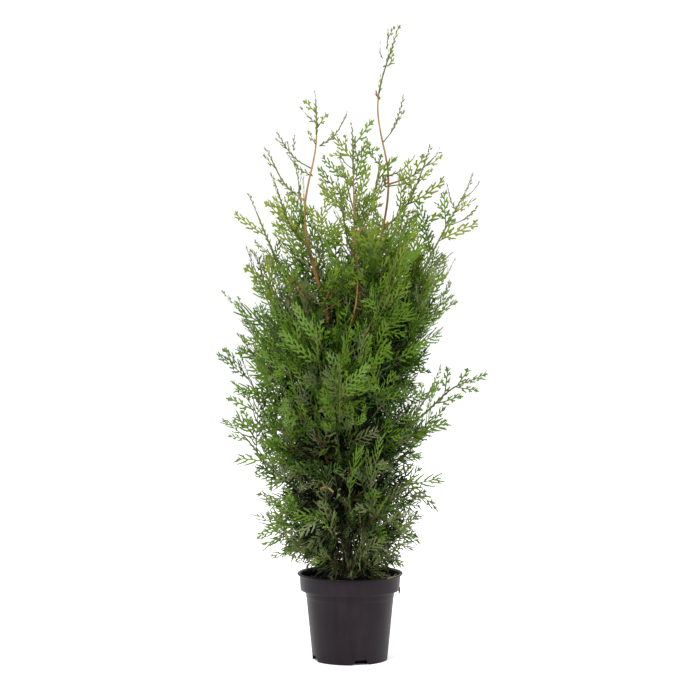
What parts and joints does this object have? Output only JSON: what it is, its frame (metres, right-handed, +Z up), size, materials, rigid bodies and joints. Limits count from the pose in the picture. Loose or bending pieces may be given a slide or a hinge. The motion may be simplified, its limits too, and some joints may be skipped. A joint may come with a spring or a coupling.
{
  "type": "potted thuja",
  "caption": "Young columnar thuja with a forked leaning trunk and loose sprays of scale foliage, growing in soil in a round tapered nursery pot.",
  "frame": {"origin": "centre of the pot's flat underside", "axes": "+Z up along the pot's axis, -Y towards the viewer of the front, +X to the viewer's right"},
  "size_m": [0.4881, 0.4271, 1.1371],
  "materials": {
    "pot": "satin dark grey moulded polypropylene",
    "soil": "rough, crumbly peat soil",
    "bark": "rough grey-brown bark",
    "young_wood": "smooth orange-brown young bark",
    "foliage": "matt green scale leaves"
  },
  "bodies": {
    "root": {"pot": "pot", "soil": "soil", "trunk": "bark", "left_leader": "young_wood", "centre_leader": "young_wood", "tall_leader": "young_wood", "right_bough": "young_wood", "left_bough": "young_wood", "front_bough": "young_wood", "right_low_bough": "young_wood", "left_low_bough": "young_wood", "bough_1": "young_wood", "bough_2": "young_wood", "bough_3": "young_wood", "bough_4": "young_wood", "bough_5": "young_wood", "bough_6": "young_wood", "bough_7": "young_wood", "bough_8": "young_wood", "bough_9": "young_wood", "left_leader_foliage": "foliage", "left_leader_foliage_1": "foliage", "left_leader_foliage_2": "foliage", "left_leader_foliage_3": "foliage", "centre_leader_foliage": "foliage", "centre_leader_foliage_1": "foliage", "centre_leader_foliage_2": "foliage", "centre_leader_foliage_3": "foliage", "tall_leader_foliage": "foliage", "tall_leader_foliage_1": "foliage", "tall_leader_foliage_2": "foliage", "tall_leader_foliage_3": "foliage", "tall_leader_foliage_4": "foliage", "right_bough_foliage": "foliage", "right_bough_foliage_1": "foliage", "left_bough_foliage": "foliage", "left_bough_foliage_1": "foliage", "front_bough_foliage": "foliage", "front_bough_foliage_1": "foliage", "right_low_bough_foliage": "foliage", "left_low_bough_foliage": "foliage", "bough_1_foliage": "foliage", "bough_2_foliage": "foliage", "bough_3_foliage": "foliage", "bough_4_foliage": "foliage", "bough_5_foliage": "foliage", "bough_6_foliage": "foliage", "bough_7_foliage": "foliage", "bough_8_foliage": "foliage", "bough_9_foliage": "foliage", "low_foliage_1": "foliage", "low_foliage_2": "foliage", "low_foliage_3": "foliage", "low_foliage_4": "foliage", "low_foliage_5": "foliage", "low_foliage_6": "foliage", "low_foliage_7": "foliage", "low_foliage_8": "foliage", "low_foliage_9": "foliage", "low_foliage_10": "foliage"}
  },
  "joints": []
}
